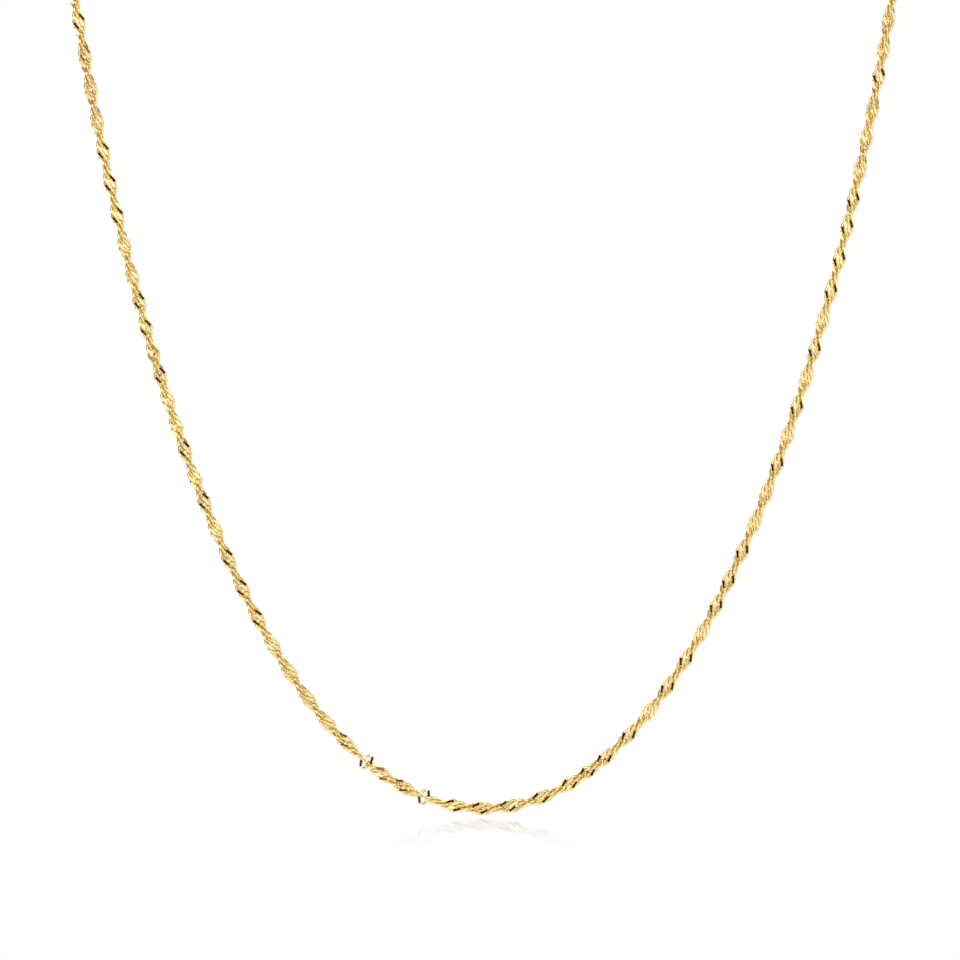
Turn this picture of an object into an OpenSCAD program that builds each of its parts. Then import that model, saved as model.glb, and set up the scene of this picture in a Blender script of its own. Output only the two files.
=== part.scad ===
// Twisted chain necklace: a flat band of fine gold links, twisted along its whole length and closed
// to a loop with a spring ring. It hangs as it is worn, with the front low and the back at the nape.
// Millimetres. +Z is up and -Y is the front. The origin is on the chain's path at the nape.
// Left and right are as seen from the front.

/* [Chain] */
// Width of the band of links, across its flat
chain_w = 1.8; // [1.4:0.1:2.4]
// Thickness of the band, which is how narrow it looks between two lobes
chain_t = 0.85; // [0.6:0.05:1.1]
// Mean length of chain in half a turn of the twist, which is one lobe
lobe_length = 4.25; // [3.6:0.05:6]
// Cross sections in one lobe
sections_per_lobe = 6; // [4:1:8]

/* [End rings] */
// Radius of the last link of the chain, to the middle of its wire
end_link_r = 0.75; // [0.7:0.05:0.9]
// Wire of the last link
end_link_wire = 0.4; // [0.3:0.05:0.45]
// Radius of a jump ring, to the middle of its wire
jump_ring_r = 1.4; // [1.3:0.1:1.6]
// Wire of a jump ring
jump_ring_wire = 0.6; // [0.5:0.05:0.65]

/* [Clasp] */
// Radius of the spring ring, to the middle of its tube
clasp_r = 2.2; // [2:0.1:3]
// Tube of the spring ring
clasp_tube = 1.2; // [1:0.1:1.4]
// Wire of the gate that closes the spring ring
gate_wire = 0.8; // [0.6:0.05:0.9]
// Length of the lever's pin, outside the tube
lever_length = 0.6; // [0.4:0.1:1]
// Ball on the lever
lever_ball = 0.8; // [0.6:0.05:1]
// Radius of the eye on the spring ring, to the middle of its wire
eye_r = 0.85; // [0.85:0.05:1]
// Wire of the eye
eye_wire = 0.6; // [0.5:0.05:0.6]

/* [Fit] */
// Gap between two rings where one holds the other
play = 0.15; // [0.12:0.01:0.18]

/* [Hidden] */
$fn = 48;
gold = [0.83, 0.66, 0.28];

// Path of the right half, from the lowest point up the side of the neck and round to the nape.
// Two Bezier curves, each with its ends and its two handles
front_curve = [[0, -70, -136], [30, -70, -136], [48.5, -58, -74], [56.6, -48.3, -24]];
back_curve = [[56.6, -48.3, -24], [60.8, -43.2, 2.2], [38, 0, 0], [0, 0, 0]];
path_steps = 400;

// Places round the spring ring, in degrees from its right side: the gate's two ends and the lever
gate_start = 50;
gate_end = 100;
lever_angle = 120;
// Depth at which the eye and the lever sink into the tube that holds them
joint_depth = 0.15;

// The side of the band that faces the front at the lowest point, before any twist
face_at_front = [0, -0.98, 0.19];

// Where the twist is uneven: places along the chain from the lowest point, with the left negative,
// and the half turns gained there on an even twist. Between two places the gain changes evenly
uneven_twist = [
    [-217, -1.7],
    [-131, -1.2], [-126, -1.4], [-112, -1.55], [-99, -1.75], [-94, -1.85], [-90, -1.7], [-87, -1.55],
    [-69, -0.85], [-64, -0.85], [-61, -0.65], [-52, -0.7], [-43, -0.9], [-25, -1.1], [-20, -0.9],
    [-17.5, -0.9], [-16.4, -0.45], [-9.5, -0.2], [-8.4, 0], [-4, 0],
    [0, 0.1], [12.5, 0.1], [18.5, 0.7], [23, 0.55], [32, 0.55], [36, 0.45], [45, 0.45], [49, 0.55],
    [57, 0.5], [62, 0.35], [92, 0.35], [101, 0.15], [110, 0.2], [123, 0], [127, 0.15],
    [217, 1]
];

// Corners of the band's cross section, as shares of its half width and half thickness
section_corners = [
    [1, 0.45], [0.6, 1], [-0.6, 1], [-1, 0.45],
    [-1, -0.45], [-0.6, -1], [0.6, -1], [1, -0.45]
];
corners = len(section_corners);

function unit(v) = v / norm(v);

function bezier(c, t) =
    pow(1 - t, 3) * c[0] + 3 * pow(1 - t, 2) * t * c[1] + 3 * (1 - t) * t * t * c[2] + pow(t, 3) * c[3];

function bezier_heading(c, t) =
    unit(pow(1 - t, 2) * (c[1] - c[0]) + 2 * (1 - t) * t * (c[2] - c[1]) + t * t * (c[3] - c[2]));

// The path and its heading at u, which runs from 0 at the lowest point to 2 at the nape
function path_point(u) = u < 1 ? bezier(front_curve, u) : bezier(back_curve, u - 1);
function path_heading(u) = u < 1 ? bezier_heading(front_curve, u) : bezier_heading(back_curve, u - 1);

// Length of the path up to each step, paired with its u
u_by_length = [
    for (i = 0, s = 0;
        i <= path_steps;
        s = s + norm(path_point(2 * (i + 1) / path_steps) - path_point(2 * i / path_steps)), i = i + 1)
    [s, 2 * i / path_steps]
];
half_loop = u_by_length[path_steps][0];
function u_at(s) = lookup(s, u_by_length);

// Along the back of the neck, each ring's distance from the nape follows from the ring it holds
reach_in_clasp = (clasp_tube + jump_ring_wire) / 2 + play;
reach_in_eye = (eye_wire + jump_ring_wire) / 2 + play;
reach_in_link = (end_link_wire + jump_ring_wire) / 2 + play;
eye_offset = clasp_r + clasp_tube / 2 + eye_r - joint_depth;
clasp_to_right_link = clasp_r - reach_in_clasp + 2 * jump_ring_r - reach_in_link + end_link_r;
clasp_to_left_link = eye_offset + eye_r - reach_in_eye + 2 * jump_ring_r - reach_in_link + end_link_r;
clasp_x = (clasp_to_left_link - clasp_to_right_link) / 2;
right_jump_ring = clasp_x + clasp_r - reach_in_clasp + jump_ring_r;
left_jump_ring = eye_offset - clasp_x + eye_r - reach_in_eye + jump_ring_r;
end_link = (clasp_to_left_link + clasp_to_right_link) / 2;

// The band runs from the lowest point to the near side of its last link
band_length = half_loop - end_link - end_link_r;
sections = ceil(band_length / lobe_length * sections_per_lobe);
section_s = [for (i = [0:sections]) band_length * i / sections];

// The band's untwisted face is carried along the path without turning about it
faces_forward = [
    for (i = 0, w = unit(face_at_front);
        i <= sections;
        i = i + 1, w = i > sections ? w : across(w, path_heading(u_at(section_s[i]))))
    w
];
function across(w, heading) = unit(w - (w * heading) * heading);

// Angle of the twist at s along the chain from the lowest point
function twist(s) = 180 * (s / lobe_length + lookup(s, uneven_twist));

// One cross section of the band, turned to the twist at its place. Side is 1 right and -1 left
function section_points(i, side) =
    let (u = u_at(section_s[i]))
    let (face = faces_forward[i])
    let (edge = cross(face, path_heading(u)))
    let (a = twist(side * section_s[i]))
    let (wide = (cos(a) * edge + sin(a) * face) * chain_w / 2)
    let (thick = (cos(a) * face - sin(a) * edge) * chain_t / 2)
    [for (c = section_corners) path_point(u) + c[0] * wide + c[1] * thick];

module twisted_band(side) {
    points = [for (i = [0:sections]) each section_points(i, side)];
    walls = [
        for (i = [0:sections - 1])
            for (k = [0:corners - 1])
                let (a = i * corners + k)
                let (b = i * corners + (k + 1) % corners)
                each side < 0 ? [[a, a + corners, b + corners], [a, b + corners, b]]
                    : [[a, a + corners, b], [b, a + corners, b + corners]]
    ];
    first = [for (k = [0:corners - 1]) k];
    last = [for (k = [corners - 1:-1:0]) sections * corners + k];
    polyhedron(points = points, faces = concat([first, last], walls));
}

module torus(r, wire) {
    rotate_extrude()
        translate([r, 0])
            circle(d = wire);
}

// A ring that stands upright on the path, at a distance from the nape, with the path through its sides
module upright_ring(from_nape, r, wire) {
    u = u_at(half_loop - from_nape);
    heading = path_heading(u);
    translate(path_point(u))
        rotate([90, 0, atan2(heading[1], heading[0])])
            torus(r, wire);
}

// A ring that lies level on the path, at a distance from the nape
module level_ring(from_nape, r, wire) {
    translate(path_point(u_at(half_loop - from_nape)))
        torus(r, wire);
}

// Half of the chain on the right, or the twisted way of its mirror image
module half_chain(side) {
    twisted_band(side);
    upright_ring(end_link, end_link_r, end_link_wire);
}

module chain_left() {
    color(gold)
        mirror([1, 0, 0])
            half_chain(-1);
}

module chain_right() {
    color(gold)
        half_chain(1);
}

module end_ring_left() {
    color(gold)
        mirror([1, 0, 0])
            level_ring(left_jump_ring, jump_ring_r, jump_ring_wire);
}

module end_ring_right() {
    color(gold)
        level_ring(right_jump_ring, jump_ring_r, jump_ring_wire);
}

// The spring ring's tube, open at the gate
module clasp_tube_arc() {
    rotate([0, 0, gate_end])
        rotate_extrude(angle = 360 - gate_end + gate_start)
            translate([clasp_r, 0])
                circle(d = clasp_tube);
}

// The pin and ball that pull the gate back
module lever() {
    rotate([0, 0, lever_angle])
        translate([clasp_r + clasp_tube / 2 - joint_depth, 0, 0]) {
            rotate([0, 90, 0])
                cylinder(d = lever_ball / 2, h = lever_length + joint_depth);
            translate([lever_length + joint_depth, 0, 0])
                sphere(d = lever_ball);
        }
}

module clasp() {
    color(gold)
        translate([clasp_x, 0, 0])
            rotate([90, 0, 0]) {
                clasp_tube_arc();
                torus(clasp_r, gate_wire);
                lever();
                translate([-eye_offset, 0, 0])
                    torus(eye_r, eye_wire);
            }
}

chain_left();
chain_right();
end_ring_left();
end_ring_right();
clasp();
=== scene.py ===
# Twisted chain necklace of yellow gold: its loose links, the finish of the clasp and of its rings,
# and the floor, the light and the camera. Sizes are in millimetres until a shape is placed.
import math
from bisect import bisect_right

import bmesh
import bpy
from mathutils import Matrix, Vector


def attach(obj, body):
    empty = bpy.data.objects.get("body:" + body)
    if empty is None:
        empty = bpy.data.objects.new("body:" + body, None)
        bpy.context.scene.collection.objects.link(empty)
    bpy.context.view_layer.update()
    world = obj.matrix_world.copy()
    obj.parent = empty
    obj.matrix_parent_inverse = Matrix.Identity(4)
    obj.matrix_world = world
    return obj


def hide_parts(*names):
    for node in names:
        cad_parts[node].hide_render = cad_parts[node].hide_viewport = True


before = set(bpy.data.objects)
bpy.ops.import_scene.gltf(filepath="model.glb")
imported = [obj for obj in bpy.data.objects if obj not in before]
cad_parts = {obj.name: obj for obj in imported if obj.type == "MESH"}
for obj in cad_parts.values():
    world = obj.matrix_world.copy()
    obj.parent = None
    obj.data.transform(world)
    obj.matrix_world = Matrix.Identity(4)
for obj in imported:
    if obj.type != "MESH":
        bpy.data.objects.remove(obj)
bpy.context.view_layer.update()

MM = 0.001

# The chain's path on the right, from the lowest point up the side of the neck and round to the nape.
# Two Bezier curves, each with its ends and its two handles. The left half is the mirror image
FRONT_CURVE = ((0, -70, -136), (30, -70, -136), (48.5, -58, -74), (56.6, -48.3, -24))
BACK_CURVE = ((56.6, -48.3, -24), (60.8, -43.2, 2.2), (38, 0, 0), (0, 0, 0))
STEPS_PER_CURVE = 600

# The side of the chain that faces the front at the lowest point, before any twist
FACE_AT_FRONT = (0, -0.98, 0.19)

# How the links are spaced: a stretch of even pitch lies between two rows. Columns: number of the link
# from the lowest point, with the left negative, and its place along the chain
SPACING = (
    (-286, -217.4), (-169, -131), (-100, -77.4), (-50, -38.4), (-28, -22.1), (-6, -4.9), (0, -0.5),
    (11, 8), (25, 18.4), (60, 45.6), (110, 84.2), (165, 127.1), (287, 217.4),
)

# How the chain is twisted. Most rows are the middle of a lobe, where the links lie flat to the front
# after whole half turns. The others turn the links beside the crosswise ones, keep the links of short
# lobes clear of each other, or end the chain. Columns: number of the link and the half turns, which
# change evenly between rows
TWIST = (
    (-286, -52.86), (-169, -32), (-162.5, -31), (-156.5, -30), (-150.5, -29), (-145, -28),
    (-139, -27), (-133, -26), (-127.5, -25), (-121.5, -24), (-116.5, -22.95), (-112.5, -22.04),
    (-107.5, -21.04), (-103, -20), (-98.5, -19), (-93.5, -18), (-89, -17), (-83.5, -16), (-79, -15),
    (-68, -13), (-62, -12), (-56, -11), (-50.5, -10), (-44.5, -9), (-38.5, -8), (-32.5, -7),
    (-26, -5.66), (-24, -5.4), (-22.5, -5), (-21, -4.3), (-19, -3.93), (-15, -3.07), (-12, -2.44),
    (-10.5, -2), (-9, -1.6), (-7, -1.34), (-5, -1), (0, 0), (5, 0.94), (6, 1.06), (11, 2), (17, 3),
    (21, 4), (25, 5), (31, 6), (42, 8), (48, 9), (59, 11), (64, 12), (70, 13), (75.5, 14),
    (81.5, 15), (87, 16), (98, 18), (109, 20), (120, 22), (126, 23), (132, 24), (137, 25),
    (142.5, 26), (148.5, 27), (153.5, 28), (160, 29), (164.5, 30), (170.5, 31), (287, 52.14),
)

# A link is a diamond with round corners. Its long corners lie along the chain
LONG_CORNER = 0.93
SHORT_CORNER = 0.67
# Middle of each straight side, along and across the chain, its slope and half its length
SIDE_ALONG = 0.55
SIDE_ACROSS = 0.48
SIDE_SLOPE = 27
SIDE_REACH = 0.43
# Two sides are bent up and the other two down by this much, which sets the twist
SIDE_LIFT = 0.09
# The wire is flattened on the sides and narrow at the long corners
WIRE_WIDTH = 0.47
CORNER_WIDTH = 0.22
WIRE_THICKNESS = 0.36
WIRE_SIDES = 6
LINK_SECTIONS = 12
# Depth of the flat cuts on the raised sides
CUT_DEPTH = 0.05
# Points nearer than this, in metres, count as one
MERGE_DISTANCE = 1e-7

# Links that lie across the chain, flat to the front, each in the place of two links. Column: number
# of the link, halfway between the two
CROSSWISE_LINKS = (-22.5, -10.5)

# The ring that closes each half at its end, upright on the path
END_LINK_RADIUS = 0.75
END_LINK_WIRE = 0.4
END_LINK_FROM_NAPE = 6.3
END_LINK_SECTIONS = 24
END_LINK_SIDES = 10


def unit(v):
    return v.normalized()


def bezier(curve, t):
    a, b, c, d = (Vector(p) for p in curve)
    return (1 - t) ** 3 * a + 3 * (1 - t) ** 2 * t * b + 3 * (1 - t) * t * t * c + t ** 3 * d


def bezier_heading(curve, t):
    a, b, c, d = (Vector(p) for p in curve)
    return unit((1 - t) ** 2 * (b - a) + 2 * (1 - t) * t * (c - b) + t * t * (d - c))


def walk_path():
    """Steps along the right half: the length so far, the point, the heading and the untwisted face."""
    steps = []
    face = Vector(FACE_AT_FRONT)
    length = 0
    for curve in (FRONT_CURVE, BACK_CURVE):
        for i in range(STEPS_PER_CURVE + 1):
            point = bezier(curve, i / STEPS_PER_CURVE)
            heading = bezier_heading(curve, i / STEPS_PER_CURVE)
            face = unit(face - face.dot(heading) * heading)
            if steps:
                length += (point - steps[-1][1]).length
            steps.append((length, point, heading, face))
    return steps


PATH = walk_path()
PATH_LENGTHS = [step[0] for step in PATH]
HALF_LOOP = PATH_LENGTHS[-1]


def path_at(s):
    """Point, heading and untwisted face at s along the chain from the lowest point, left negative."""
    i = min(bisect_right(PATH_LENGTHS, abs(s)), len(PATH) - 1)
    before, after = PATH[i - 1], PATH[i]
    share = (abs(s) - before[0]) / (after[0] - before[0])
    point, heading, face = (before[k].lerp(after[k], share) for k in (1, 2, 3))
    if s < 0:
        point = Vector((-point.x, point.y, point.z))
        heading = Vector((heading.x, -heading.y, -heading.z))
        face = Vector((-face.x, face.y, face.z))
    return point, unit(heading), unit(face)


def read_off(table, number):
    """What a table gives for the link of this number, evenly between rows."""
    for (before, low), (after, high) in zip(table, table[1:]):
        if before <= number <= after:
            return low + (number - before) / (after - before) * (high - low)


def link_matrix(number, crosswise=False):
    """Place of a link: its length along the chain, its width and thickness turned by the twist."""
    point, heading, face = path_at(read_off(SPACING, number))
    edge = face.cross(heading)
    turn = math.pi * read_off(TWIST, number)
    wide = math.cos(turn) * edge + math.sin(turn) * face
    thick = math.cos(turn) * face - math.sin(turn) * edge
    if crosswise:
        heading, wide = wide, -heading
    axes = Matrix((heading, wide, thick)).transposed().to_4x4()
    return Matrix.Translation(point * MM) @ axes


def wire_middle(degrees):
    """Middle of the link's wire at a place round the link: along, across and up."""
    side = Vector((math.cos(math.radians(SIDE_SLOPE)), -math.sin(math.radians(SIDE_SLOPE)))) * SIDE_REACH
    first_quarter = {
        0: Vector((LONG_CORNER, 0)),
        30: Vector((SIDE_ALONG, SIDE_ACROSS)) + side,
        60: Vector((SIDE_ALONG, SIDE_ACROSS)) - side,
        90: Vector((0, SHORT_CORNER)),
    }
    half = degrees % 180
    middle = first_quarter[min(half, 180 - half)]
    along = middle.x if degrees < 90 or degrees > 270 else -middle.x
    across = middle.y if degrees < 180 else -middle.y
    up = 0 if half in (0, 90) else (-SIDE_LIFT if half < 90 else SIDE_LIFT)
    return Vector((along, across, up))


def select_vertices(obj, numbers):
    """Selects these vertices alone, in edit mode."""
    mesh = bmesh.from_edit_mesh(obj.data)
    for vertex in mesh.verts:
        vertex.select = vertex.index in numbers
    mesh.select_flush_mode()
    bmesh.update_edit_mesh(obj.data)


def model_link(wire_gold, cut_gold):
    """One link: a ring drawn out to a diamond, with its sides bent and the raised sides cut flat."""
    bpy.ops.object.select_all(action="DESELECT")
    bpy.ops.mesh.primitive_torus_add(
        major_segments=LINK_SECTIONS, minor_segments=WIRE_SIDES,
        major_radius=MM, minor_radius=WIRE_WIDTH / 2 * MM)
    link = bpy.context.object
    link.name = "link"
    step = 360 // LINK_SECTIONS
    rings = {degrees: set() for degrees in range(0, 360, step)}
    for vertex in link.data.vertices:
        degrees = math.degrees(math.atan2(vertex.co.y, vertex.co.x))
        rings[round(degrees / step) * step % 360].add(vertex.index)
    bpy.ops.object.mode_set(mode="EDIT")
    bpy.ops.mesh.select_all(action="SELECT")
    bpy.ops.transform.resize(value=(1, 1, WIRE_THICKNESS / WIRE_WIDTH))
    for degrees, numbers in rings.items():
        select_vertices(link, numbers)
        angle = math.radians(degrees)
        start = Vector((math.cos(angle), math.sin(angle), 0))
        if degrees % 180 == 0:
            bpy.ops.transform.resize(
                value=(CORNER_WIDTH / WIRE_WIDTH, 1, 1), center_override=start * MM)
        bpy.ops.transform.translate(value=(wire_middle(degrees) - start) * MM)
    wire_top = WIRE_THICKNESS / 2 * math.sin(math.radians(60))
    top = SIDE_LIFT + wire_top - CUT_DEPTH
    for side in (1, -1):
        bpy.ops.mesh.select_all(action="SELECT")
        bpy.ops.mesh.bisect(
            plane_co=(0, 0, side * top * MM), plane_no=(0, 0, side),
            use_fill=True, clear_outer=True, threshold=MERGE_DISTANCE)
    bpy.ops.object.mode_set(mode="OBJECT")
    link.data.materials.append(wire_gold)
    link.data.materials.append(cut_gold)
    for face in link.data.polygons:
        cut = all(abs(abs(link.data.vertices[v].co.z) - top * MM) < MERGE_DISTANCE for v in face.vertices)
        face.use_smooth = not cut
        face.material_index = 1 if cut else 0
    return link


def model_end_link(name, side, gold):
    """The plain ring that closes half of the chain, upright on the path."""
    point, heading, face = path_at(side * (HALF_LOOP - END_LINK_FROM_NAPE))
    bpy.ops.object.select_all(action="DESELECT")
    bpy.ops.mesh.primitive_torus_add(
        major_segments=END_LINK_SECTIONS, minor_segments=END_LINK_SIDES,
        major_radius=END_LINK_RADIUS * MM, minor_radius=END_LINK_WIRE / 2 * MM,
        location=point * MM,
        rotation=(math.radians(90), 0, math.atan2(heading.y, heading.x)))
    ring = bpy.context.object
    ring.name = name
    bpy.ops.object.shade_smooth()
    ring.data.materials.append(gold)
    return ring


def link_places():
    """Every link of the chain as its number and whether it lies crosswise."""
    numbers = set(range(TWIST[0][0], TWIST[-1][0] + 1))
    for number in CROSSWISE_LINKS:
        numbers -= {math.floor(number), math.ceil(number)}
        numbers.add(number)
    return [(number, number in CROSSWISE_LINKS) for number in sorted(numbers)]


def join_links(name, link, side, gold):
    """Half of the chain as one mesh: a copy of the link at each place, and the end ring."""
    copies = [model_end_link(name, side, gold)]
    for number, crosswise in link_places():
        if (number <= 0) == (side < 0):
            copy = link.copy()
            copy.data = link.data.copy()
            copy.matrix_world = link_matrix(number, crosswise)
            bpy.context.collection.objects.link(copy)
            copies.append(copy)
    bpy.ops.object.select_all(action="DESELECT")
    for copy in copies:
        copy.select_set(True)
    bpy.context.view_layer.objects.active = copies[0]
    bpy.ops.object.join()
    bpy.ops.object.transform_apply(location=True, rotation=True, scale=True)
    return bpy.context.object


def add_node(tree, kind, **settings):
    node = tree.nodes.new(kind)
    for name, value in settings.items():
        setattr(node, name, value)
    return node


def noise(tree, scale, detail):
    """Noise on the object's own coordinates."""
    place = add_node(tree, "ShaderNodeTexCoord")
    texture = add_node(tree, "ShaderNodeTexNoise")
    texture.inputs["Scale"].default_value = scale
    texture.inputs["Detail"].default_value = detail
    tree.links.new(place.outputs["Object"], texture.inputs["Vector"])
    return texture.outputs["Fac"]


def spread(tree, value, low, high):
    """A noise value stretched over a range."""
    stretch = add_node(tree, "ShaderNodeMapRange")
    stretch.inputs["From Min"].default_value = NOISE_LOW
    stretch.inputs["From Max"].default_value = NOISE_HIGH
    stretch.inputs["To Min"].default_value = low
    stretch.inputs["To Max"].default_value = high
    tree.links.new(value, stretch.inputs["Value"])
    return stretch.outputs["Result"]


# The two shades of the gold, and how strongly its fine marks show
GOLD_SHADES = ((0.98, 0.78, 0.36), (0.99, 0.83, 0.43))
MARKS_STRENGTH = 0.5
# The detail of the noise behind the shades and behind the polish and the marks
SHADES_DETAIL = 2
MARKS_DETAIL = 3
# Nearly all of a noise lies between these values
NOISE_LOW = 0.3
NOISE_HIGH = 0.7


def gold(name, roughness, grain, wear, bump_height):
    """Polished gold: two shades that drift into each other, uneven polish and fine marks."""
    material = bpy.data.materials.new(name)
    material.use_nodes = True
    tree = material.node_tree
    shader = tree.nodes["Principled BSDF"]
    shader.inputs["Metallic"].default_value = 1
    mix = add_node(tree, "ShaderNodeMix", data_type="RGBA")
    mix.inputs["A"].default_value = (*GOLD_SHADES[0], 1)
    mix.inputs["B"].default_value = (*GOLD_SHADES[1], 1)
    tree.links.new(spread(tree, noise(tree, grain, SHADES_DETAIL), 0, 1), mix.inputs["Factor"])
    tree.links.new(mix.outputs["Result"], shader.inputs["Base Color"])
    tree.links.new(spread(tree, noise(tree, wear, MARKS_DETAIL), *roughness), shader.inputs["Roughness"])
    bump = add_node(tree, "ShaderNodeBump")
    bump.inputs["Distance"].default_value = bump_height
    bump.inputs["Strength"].default_value = MARKS_STRENGTH
    tree.links.new(noise(tree, wear, MARKS_DETAIL), bump.inputs["Height"])
    tree.links.new(bump.outputs["Normal"], shader.inputs["Normal"])
    return material


# The finish of the links' wire, the smoother one of their cut faces and the softer one of the clasp
def wire_gold():
    return gold("polished_wire", roughness=(0.05, 0.11), grain=700, wear=2500, bump_height=2e-6)


def cut_gold():
    return gold("cut_faces", roughness=(0.03, 0.06), grain=700, wear=4000, bump_height=3e-7)


def clasp_gold():
    return gold("polished_clasp", roughness=(0.07, 0.15), grain=250, wear=1200, bump_height=3e-6)


def smoothstep_share(tree, direction, start, end):
    """How far a ray from the scene points in a direction, from 0 at one cosine to 1 at another."""
    place = add_node(tree, "ShaderNodeTexCoord")
    dot = add_node(tree, "ShaderNodeVectorMath", operation="DOT_PRODUCT")
    dot.inputs[1].default_value = Vector(direction).normalized()
    tree.links.new(place.outputs["Generated"], dot.inputs[0])
    share = add_node(tree, "ShaderNodeMapRange", interpolation_type="SMOOTHSTEP")
    share.inputs["From Min"].default_value = start
    share.inputs["From Max"].default_value = end
    tree.links.new(dot.outputs["Value"], share.inputs["Value"])
    return share.outputs["Result"]


# The studio round the chain: the bright front, the overhead and side lights, the white paper behind,
# and in the front's middle the dark camera with its amber edge, which the links that lie flat mirror.
# Columns: direction, cosine at the edge, cosine where it is full, colour
STUDIO = (
    ((0, -0.92, 0.37), 0.3, 0.8, (1.14, 1.1, 1.02)),
    ((0, -0.5, 1), 0.85, 0.94, (1.9, 1.9, 1.9)),
    ((1, -0.6, 0.2), 0.9, 0.96, (1.6, 1.6, 1.6)),
    ((-1, -0.6, 0.2), 0.9, 0.96, (1.6, 1.6, 1.6)),
    ((0, 1, 0), 0.93, 0.98, (1.1, 1.1, 1.1)),
    ((0, -0.92, 0.37), 0.85, 0.9, (0.5, 0.32, 0.08)),
    ((0, -0.92, 0.37), 0.87, 0.925, (0.05, 0.018, 0.002)),
)
STUDIO_WALLS = (0.36, 0.28, 0.15)
# What the camera sees behind the chain
BACKDROP = (1, 1, 1)


def mix_colours(tree, share, low, high):
    """Blends two colours, of which the first may be another node's."""
    mix = add_node(tree, "ShaderNodeMix", data_type="RGBA")
    tree.links.new(share, mix.inputs["Factor"])
    if isinstance(low, tuple):
        mix.inputs["A"].default_value = (*low, 1)
    else:
        tree.links.new(low, mix.inputs["A"])
    mix.inputs["B"].default_value = (*high, 1)
    return mix.outputs["Result"]


def light_studio():
    world = bpy.data.worlds.new("studio")
    bpy.context.scene.world = world
    world.use_nodes = True
    tree = world.node_tree
    tree.nodes.clear()
    light = STUDIO_WALLS
    for direction, start, end, colour in STUDIO:
        light = mix_colours(tree, smoothstep_share(tree, direction, start, end), light, colour)
    path = add_node(tree, "ShaderNodeLightPath")
    light = mix_colours(tree, path.outputs["Is Camera Ray"], light, BACKDROP)
    background = add_node(tree, "ShaderNodeBackground")
    tree.links.new(light, background.inputs["Color"])
    output = add_node(tree, "ShaderNodeOutputWorld")
    tree.links.new(background.outputs["Background"], output.inputs["Surface"])


# The floor just clears the lowest links
FLOOR_Z = -137.05
FLOOR_SIZE = 30000
FLOOR_GLOSS = 0.22
FLOOR_ROUGHNESS = 0.01
# How far in front of the chain the floor's gloss has faded out
FLOOR_FADE = 300


def add_floor():
    bpy.ops.object.select_all(action="DESELECT")
    bpy.ops.mesh.primitive_plane_add(size=FLOOR_SIZE * MM, location=(0, 0, FLOOR_Z * MM))
    floor = bpy.context.object
    floor.name = "floor"
    material = bpy.data.materials.new("white_gloss")
    material.use_nodes = True
    tree = material.node_tree
    tree.nodes.clear()
    white = add_node(tree, "ShaderNodeEmission")
    white.inputs["Strength"].default_value = 1
    gloss = add_node(tree, "ShaderNodeBsdfGlossy")
    gloss.inputs["Color"].default_value = (1, 1, 1, 1)
    gloss.inputs["Roughness"].default_value = FLOOR_ROUGHNESS
    mix = add_node(tree, "ShaderNodeMixShader")
    place = add_node(tree, "ShaderNodeTexCoord")
    parts = add_node(tree, "ShaderNodeSeparateXYZ")
    tree.links.new(place.outputs["Object"], parts.inputs["Vector"])
    fade = add_node(tree, "ShaderNodeMapRange", interpolation_type="SMOOTHSTEP")
    fade.inputs["From Min"].default_value = (FRONT_CURVE[0][1] - FLOOR_FADE) * MM
    fade.inputs["From Max"].default_value = FRONT_CURVE[0][1] * MM
    fade.inputs["To Max"].default_value = FLOOR_GLOSS
    tree.links.new(parts.outputs["Y"], fade.inputs["Value"])
    tree.links.new(fade.outputs["Result"], mix.inputs["Fac"])
    tree.links.new(white.outputs["Emission"], mix.inputs[1])
    tree.links.new(gloss.outputs["BSDF"], mix.inputs[2])
    output = add_node(tree, "ShaderNodeOutputMaterial")
    tree.links.new(mix.outputs["Shader"], output.inputs["Surface"])
    floor.data.materials.append(material)


# The camera looks level from the front. Its view is measured where the chain hangs lowest
CAMERA_DISTANCE = 3000
VIEW_WIDTH = 132
VIEW_CENTRE = (-0.5, -90.8)
SENSOR = 36
FARTHEST_VIEW = 100000


def set_camera():
    front = FRONT_CURVE[0][1]
    place = Vector((VIEW_CENTRE[0], front - CAMERA_DISTANCE, VIEW_CENTRE[1])) * MM
    bpy.ops.object.camera_add(location=place, rotation=(math.radians(90), 0, 0))
    camera = bpy.context.object
    camera.data.sensor_width = SENSOR
    camera.data.lens = SENSOR * CAMERA_DISTANCE / VIEW_WIDTH
    camera.data.clip_end = FARTHEST_VIEW * MM
    bpy.context.scene.camera = camera


def dress_chain():
    wire, cut = wire_gold(), cut_gold()
    link = model_link(wire, cut)
    for name, node, side in (("links_left", "chain_left", -1), ("links_right", "chain_right", 1)):
        chain = join_links(name, link, side, wire)
        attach(chain, "root")
        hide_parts(node)
    bpy.data.objects.remove(link)


def dress_clasp():
    finish = clasp_gold()
    for name in ("clasp", "end_ring_left", "end_ring_right"):
        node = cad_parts[name]
        for slot in node.material_slots:
            slot.material = finish


set_camera()
dress_chain()
dress_clasp()
add_floor()
light_studio()
bpy.context.scene.view_settings.view_transform = "Standard"
